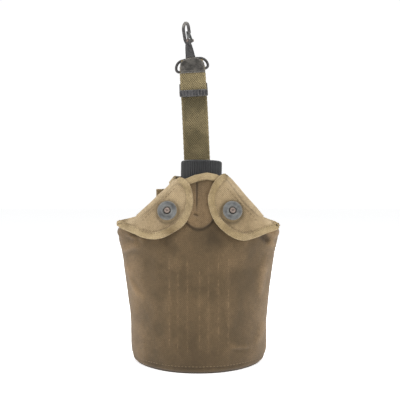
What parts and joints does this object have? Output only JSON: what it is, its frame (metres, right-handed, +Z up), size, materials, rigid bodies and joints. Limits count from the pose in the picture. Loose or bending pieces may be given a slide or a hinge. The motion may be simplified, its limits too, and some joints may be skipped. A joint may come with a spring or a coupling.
{
  "type": "canteen",
  "caption": "Field canteen in a canvas cover with bound snap flaps, a fluted screw cap, and a web hanging strap with slide buckle, swivel loop and spring snap hook.",
  "frame": {"origin": "middle of the flat base that it stands on", "axes": "+Z up along the strap, front with the snap flaps towards -Y, +X to the right seen from the front"},
  "size_m": [0.1472, 0.085, 0.3254],
  "materials": {
    "canvas": "worn cotton duck",
    "binding": "worn cotton tape",
    "felt": "felt",
    "webbing": "woven web",
    "bottle_metal": "satin",
    "cap_plastic": "satin",
    "gasket_rubber": "matte",
    "snap_metal": "worn blackened brass",
    "black_metal": "worn black"
  },
  "bodies": {
    "cover": {"bottle_lower_shell": "bottle_metal", "bottle_upper_shell": "bottle_metal", "bottle_weld": "bottle_metal", "bottle_neck": "bottle_metal", "chain_lug": "bottle_metal", "cap_chain": "snap_metal", "cover_front": "canvas", "cover_back": "canvas", "cover_bottom": "canvas", "felt_front": "felt", "felt_back": "felt", "felt_bottom": "felt", "throat_binding": "binding", "snap_stud_left": "snap_metal", "snap_stud_right": "snap_metal", "stud_washer_left": "snap_metal", "stud_washer_right": "snap_metal", "back_web_band": "webbing", "strap_root": "webbing"},
    "cap_seal": {"cap_gasket": "gasket_rubber"},
    "cap": {"cap_shell": "cap_plastic", "cap_pin": "snap_metal"},
    "flap_left": {"flap_left": "canvas", "flap_binding_left": "binding", "snap_socket_left": "snap_metal", "snap_backplate_left": "snap_metal"},
    "flap_right": {"flap_right": "canvas", "flap_binding_right": "binding", "snap_socket_right": "snap_metal", "snap_backplate_right": "snap_metal"},
    "strap": {"main_strap": "webbing", "strap_tip": "black_metal"},
    "buckle": {"strap_buckle": "black_metal"},
    "hook_strap": {"hook_strap": "webbing"},
    "loop": {"swivel_loop": "black_metal"},
    "hook": {"hook_body": "black_metal", "swivel_head": "black_metal", "gate_pin": "snap_metal", "gate_spring": "snap_metal"},
    "gate": {"hook_gate": "snap_metal"}
  },
  "joints": [
    {"name": "cap_rise", "type": "slide", "parent": "cover", "child": "cap_seal", "axis": [0.0157, 0, 0.9999], "range_m": [0, 0.0102], "deforming": ["cap_chain"]},
    {"name": "cap_turn", "type": "hinge", "parent": "cap_seal", "child": "cap", "pos_m": [0.00258, 0, 0.16998], "axis": [0.0157, 0, 0.9999], "range_deg": [0, 900]},
    {"name": "flap_left_fold", "type": "hinge", "parent": "cover", "child": "flap_left", "pos_m": [-0.03799, -0.02463, 0.14925], "axis": [-0.7197, -0.087, -0.6888], "range_deg": [0, 150]},
    {"name": "flap_right_fold", "type": "hinge", "parent": "cover", "child": "flap_right", "pos_m": [0.04151, -0.02463, 0.14925], "axis": [-0.6879, 0.091, 0.7201], "range_deg": [0, 150]},
    {"name": "strap_swing", "type": "hinge", "parent": "cover", "child": "strap", "pos_m": [0, 0.0353, 0.159], "axis": [1, 0, 0], "range_deg": [-90, 12]},
    {"name": "buckle_slide", "type": "slide", "parent": "strap", "child": "buckle", "axis": [-0.0523, 0, 0.9986], "range_m": [-0.05, 0.014]},
    {"name": "hook_strap_fold", "type": "hinge", "parent": "buckle", "child": "hook_strap", "pos_m": [-0.00518, 0.041, 0.26086], "axis": [0.9986, 0, 0.0523], "range_deg": [-60, 0]},
    {"name": "loop_swing", "type": "hinge", "parent": "hook_strap", "child": "loop", "pos_m": [-0.00605, 0.041, 0.27734], "axis": [0.9877, 0, 0.1564], "range_deg": [-80, 0]},
    {"name": "hook_swivel", "type": "hinge", "parent": "loop", "child": "hook", "pos_m": [-0.00773, 0.041, 0.28801], "axis": [-0.1564, 0, 0.9877], "continuous": true},
    {"name": "gate_press", "type": "hinge", "parent": "hook", "child": "gate", "pos_m": [-0.00845, 0.03712, 0.30572], "axis": [-0.8721, -0.4695, -0.1381], "range_deg": [0, 22], "stiffness_Nm_per_rad": 0.02, "springref_deg": -20.05}
  ],
  "couplings": [
    {"joint": "cap_rise", "follows": "cap_turn", "m_per_rad": 0.00063662}
  ]
}
